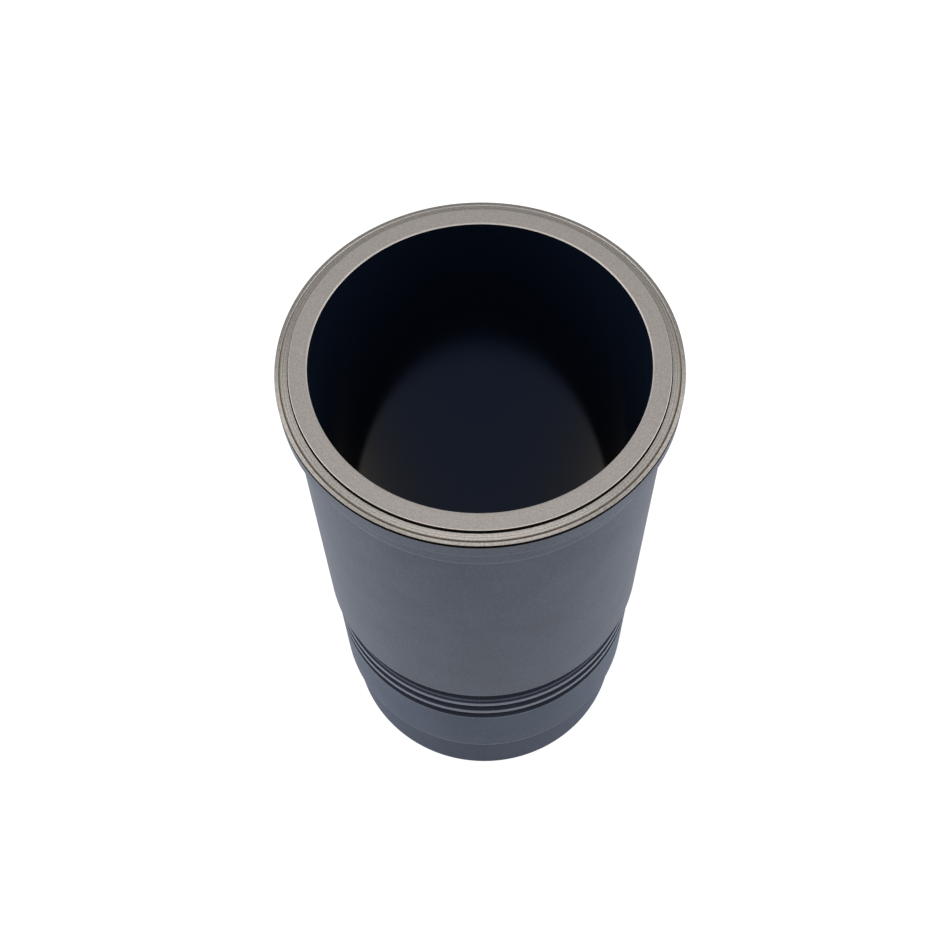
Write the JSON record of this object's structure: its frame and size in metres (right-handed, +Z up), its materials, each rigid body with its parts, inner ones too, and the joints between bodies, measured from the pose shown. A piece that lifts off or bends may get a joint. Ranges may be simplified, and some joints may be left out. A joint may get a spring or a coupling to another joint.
{
  "type": "cylinder liner",
  "caption": "Open-ended wet cylinder liner with a flanged top, a raised gasket land, seal grooves low on the outside and a honed bore.",
  "frame": {"origin": "centre of the lower end face, on which the liner stands", "axes": "+Z up the bore axis, from the lower end to the flanged top"},
  "size_m": [0.1664, 0.1664, 0.2956],
  "materials": {
    "liner_iron": "manganese phosphate outside, turned top faces, plateau-honed bore"
  },
  "bodies": {
    "root": {"cylinder_liner": "liner_iron"}
  },
  "joints": []
}
